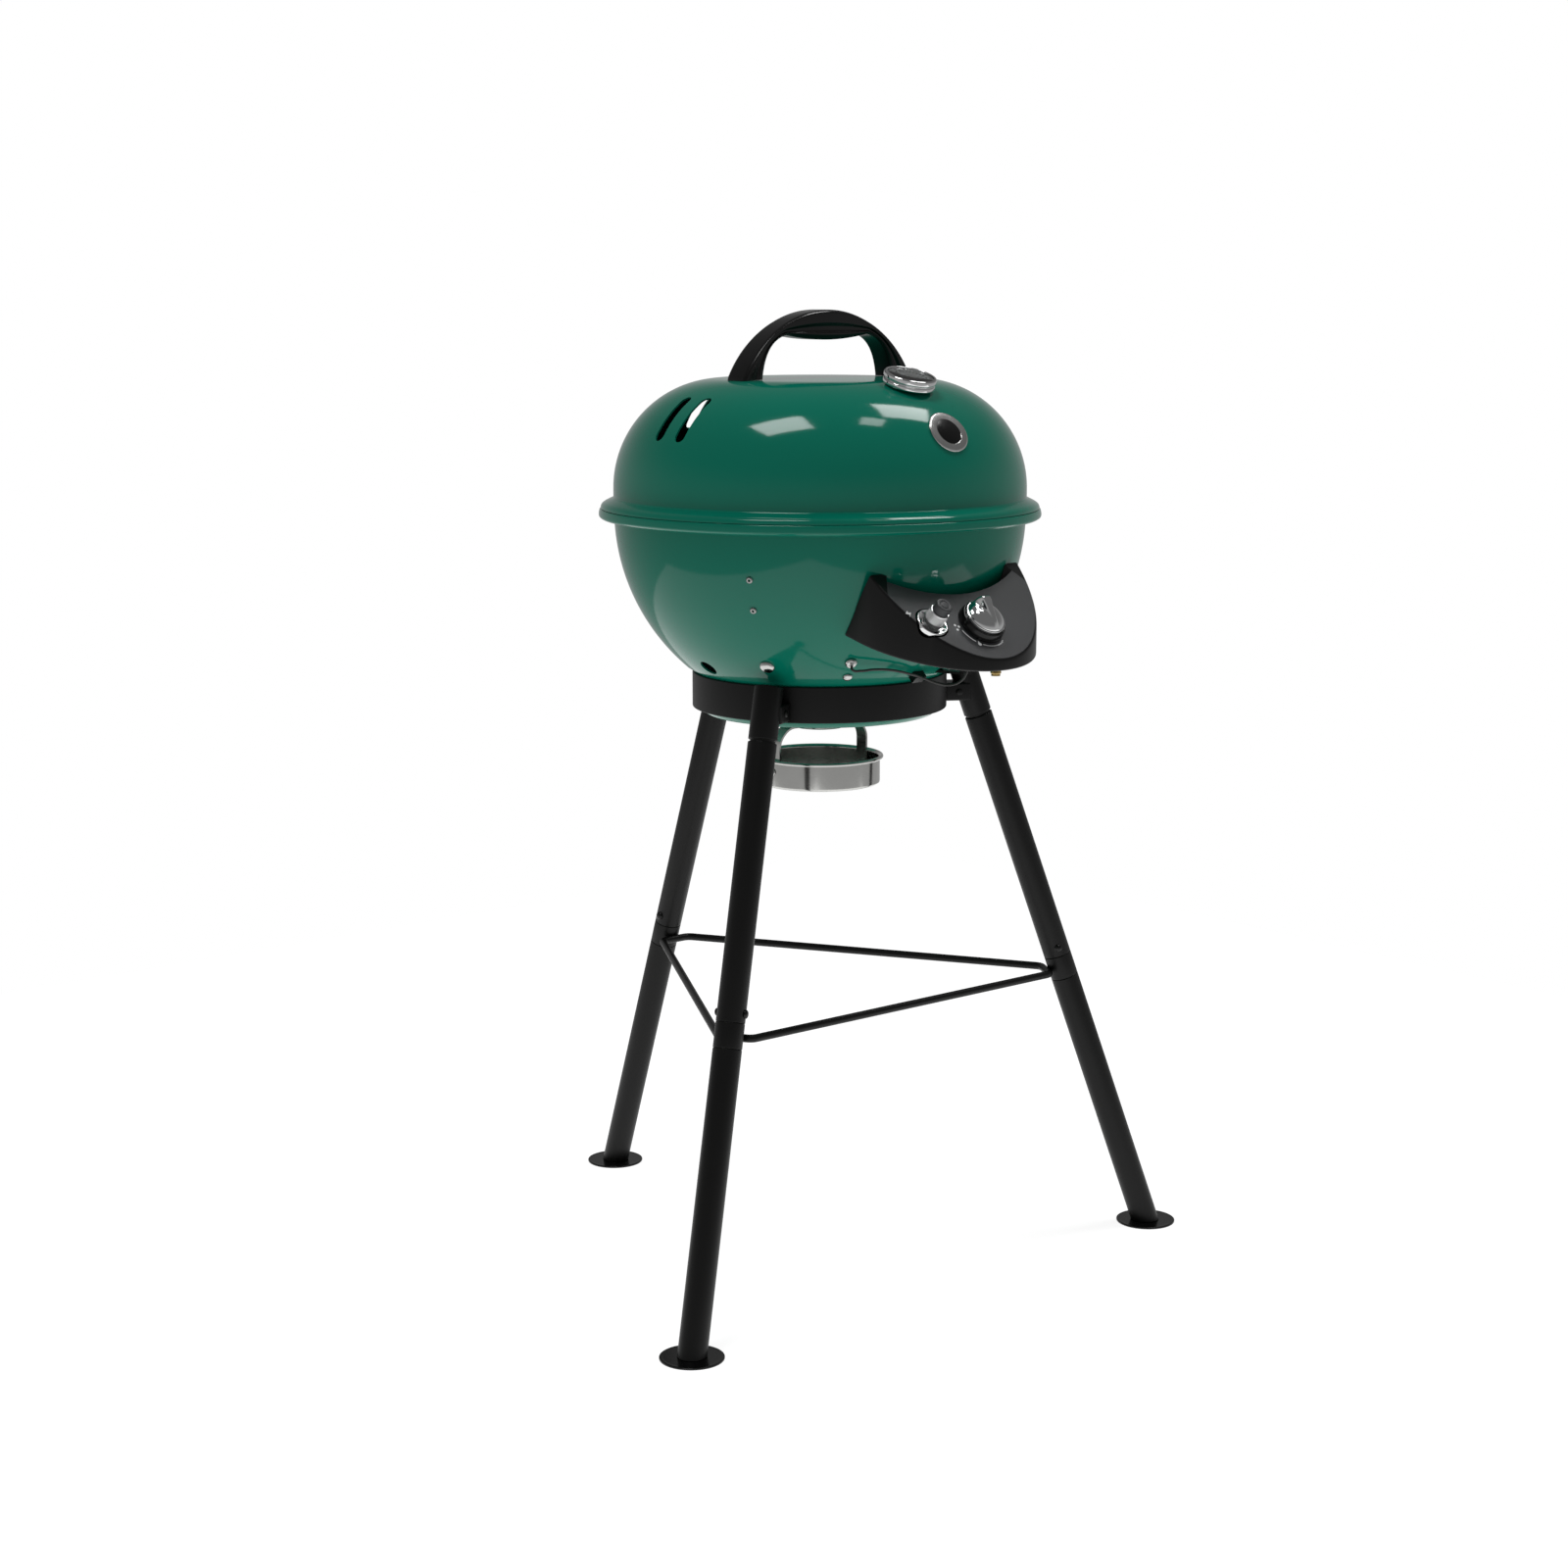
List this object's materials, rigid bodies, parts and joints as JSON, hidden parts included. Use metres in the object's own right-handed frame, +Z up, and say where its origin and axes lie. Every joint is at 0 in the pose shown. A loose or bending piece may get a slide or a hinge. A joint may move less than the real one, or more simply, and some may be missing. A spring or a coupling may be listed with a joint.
{
  "type": "kettle gas grill",
  "caption": "Kettle gas grill with lift-off lid, ring burner, tilted control box, drip cup and a tripod of splayed tube legs held by a tie ring.",
  "frame": {"origin": "on the floor under the middle of the grill's bounding box", "axes": "+Z up, -Y towards the control box, X across"},
  "size_m": [0.696, 0.6718, 0.9869],
  "materials": {
    "green_enamel": "glossy vitreous enamel",
    "black_paint": "satin powder coat",
    "gloss_black": "moulded gloss",
    "panel_grey": "fine grained",
    "polished_steel": "polished",
    "chrome_plate": "mirror plate",
    "cast_iron": "enamelled",
    "black_enamel": "vitreous enamel",
    "brass": "turned",
    "dial_face": "printed sheet",
    "clear_glass": "clear",
    "ceramic": "glazed ceramic",
    "lead_rubber": "silicone sleeve"
  },
  "bodies": {
    "stand": {"bowl": "green_enamel", "ring_band": "black_paint", "tie_ring": "black_paint", "leg_top_left": "black_paint", "leg_upper_left": "black_paint", "leg_lower_left": "black_paint", "leg_foot_left": "gloss_black", "leg_screw_left": "black_paint", "bowl_bolt_left": "polished_steel", "grate_support_left": "polished_steel", "leg_top_right": "black_paint", "leg_upper_right": "black_paint", "leg_lower_right": "black_paint", "leg_foot_right": "gloss_black", "leg_screw_right": "black_paint", "bowl_bolt_right": "polished_steel", "grate_support_right": "polished_steel", "leg_top_rear": "black_paint", "leg_upper_rear": "black_paint", "leg_lower_rear": "black_paint", "leg_foot_rear": "gloss_black", "leg_screw_rear": "black_paint", "bowl_bolt_rear": "polished_steel", "grate_support_rear": "polished_steel", "ring_burner": "polished_steel", "venturi_tube": "polished_steel", "electrode": "ceramic", "burner_bolt": "polished_steel", "ignition_lead": "lead_rubber", "lead_clip": "gloss_black", "control_box": "gloss_black", "control_panel": "panel_grey", "box_bracket": "black_paint", "gas_valve": "brass", "gas_inlet": "brass", "knob_bezel": "gloss_black", "igniter_dish": "chrome_plate", "igniter_barrel": "chrome_plate", "igniter_piezo": "gloss_black"},
    "funnel": {"heat_funnel": "black_enamel"},
    "grate": {"cooking_grate": "cast_iron"},
    "lid": {"lid": "green_enamel", "lid_handle": "gloss_black", "handle_screw_left": "polished_steel", "handle_screw_right": "polished_steel", "thermometer_case": "chrome_plate", "thermometer_dial": "dial_face", "thermometer_glass": "clear_glass", "thermometer_probe": "polished_steel", "lid_badge": "polished_steel"},
    "needle": {"thermometer_needle": "gloss_black"},
    "spindle": {"knob_stem": "polished_steel"},
    "knob": {"gas_knob": "chrome_plate"},
    "igniter": {"igniter_button": "gloss_black"},
    "cup": {"drip_cup": "polished_steel", "cup_bail": "polished_steel", "cup_screw_left": "polished_steel", "cup_screw_right": "polished_steel"}
  },
  "joints": [
    {"name": "lid_lift", "type": "slide", "parent": "stand", "child": "lid", "axis": [0, 0, 1], "range_m": [0, 0.3]},
    {"name": "grate_lift", "type": "slide", "parent": "stand", "child": "grate", "axis": [0, 0, 1], "range_m": [0, 0.08]},
    {"name": "funnel_lift", "type": "slide", "parent": "stand", "child": "funnel", "axis": [0, 0, 1], "range_m": [0, 0.03]},
    {"name": "needle_turn", "type": "hinge", "parent": "lid", "child": "needle", "pos_m": [0, -0.19395, 0.9131], "axis": [0, 0.2933, -0.956], "range_deg": [0, 260]},
    {"name": "knob_turn", "type": "hinge", "parent": "stand", "child": "spindle", "pos_m": [-0.003, -0.30325, 0.68804], "axis": [0, -0.6871, 0.7266], "range_deg": [0, 210]},
    {"name": "knob_push", "type": "slide", "parent": "spindle", "child": "knob", "axis": [0, 0.6871, -0.7266], "range_m": [0, 0.003], "stiffness_N_per_m": 1200, "springref_m": -0.002},
    {"name": "igniter_push", "type": "slide", "parent": "stand", "child": "igniter", "axis": [0, 0.6871, -0.7266], "range_m": [0, 0.004], "stiffness_N_per_m": 800, "springref_m": -0.002},
    {"name": "cup_pull", "type": "slide", "parent": "stand", "child": "cup", "axis": [0, 0, -1], "range_m": [0, 0.15]}
  ]
}
